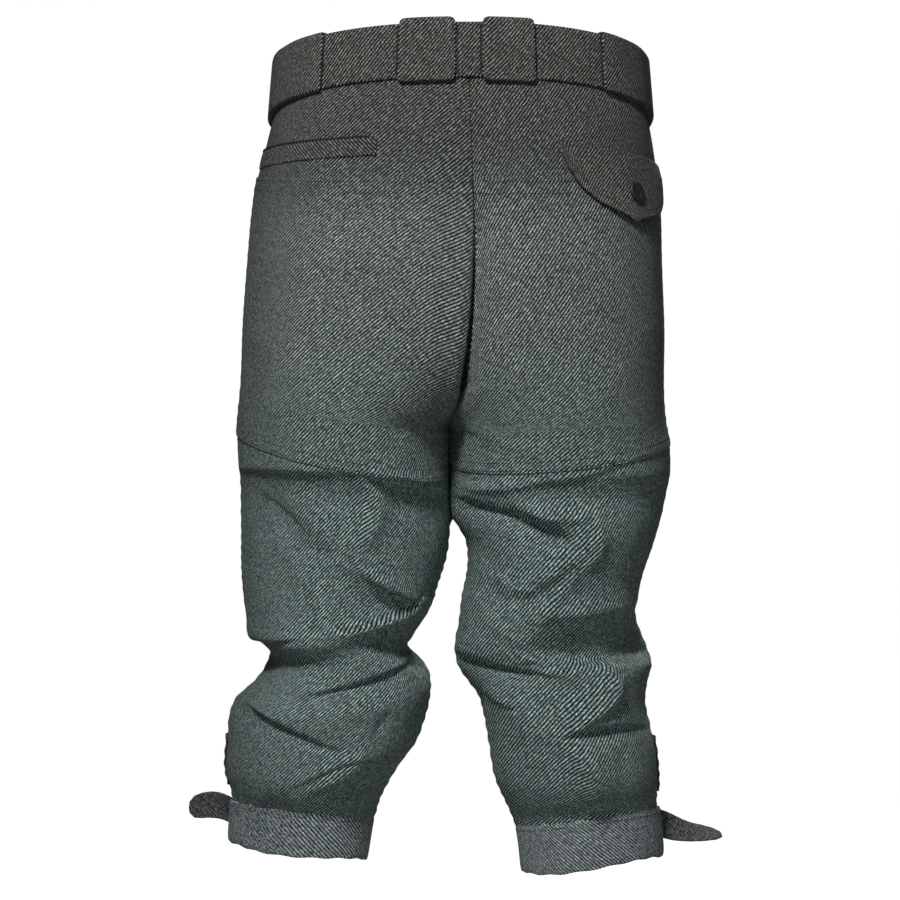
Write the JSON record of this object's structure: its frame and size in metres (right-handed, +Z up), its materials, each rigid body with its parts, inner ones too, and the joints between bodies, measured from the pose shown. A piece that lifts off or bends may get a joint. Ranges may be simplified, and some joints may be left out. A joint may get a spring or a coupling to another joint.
{
  "type": "knee breeches",
  "caption": "Wool twill knee breeches in hollow worn form, with a cloth belt in carriers, a doubled seat, a welt pocket, a scalloped flap pocket and strapped cuffs.",
  "frame": {"origin": "middle of the waist, where the wearer holds the garment up", "axes": "+Z up toward the waist, -Y to the garment's front, +X to the wearer's left"},
  "size_m": [0.4909, 0.2695, 0.7702],
  "materials": {
    "twill": "matte grey-green wool twill",
    "twill_trim": "matte grey-green wool twill",
    "button": "dark, satin",
    "slide": "satin"
  },
  "bodies": {
    "root": {"back_left": "twill", "back_right": "twill", "front_left": "twill", "front_right": "twill", "seat_left": "twill", "seat_right": "twill", "waistband_left": "twill_trim", "waistband_right": "twill_trim", "belt": "twill_trim", "belt_keeper": "twill_trim", "loop_back_left": "twill_trim", "loop_back_right": "twill_trim", "tunnel_left": "twill_trim", "tunnel_right": "twill_trim", "pocket_welt": "twill_trim", "pocket_flap": "twill_trim", "fly_cover": "twill_trim", "cuff_left": "twill_trim", "cuff_right": "twill_trim", "strap_left": "twill_trim", "strap_right": "twill_trim", "vent_left": "twill_trim", "vent_right": "twill_trim", "flap_button": "button", "belt_buckle": "slide"}
  },
  "joints": []
}
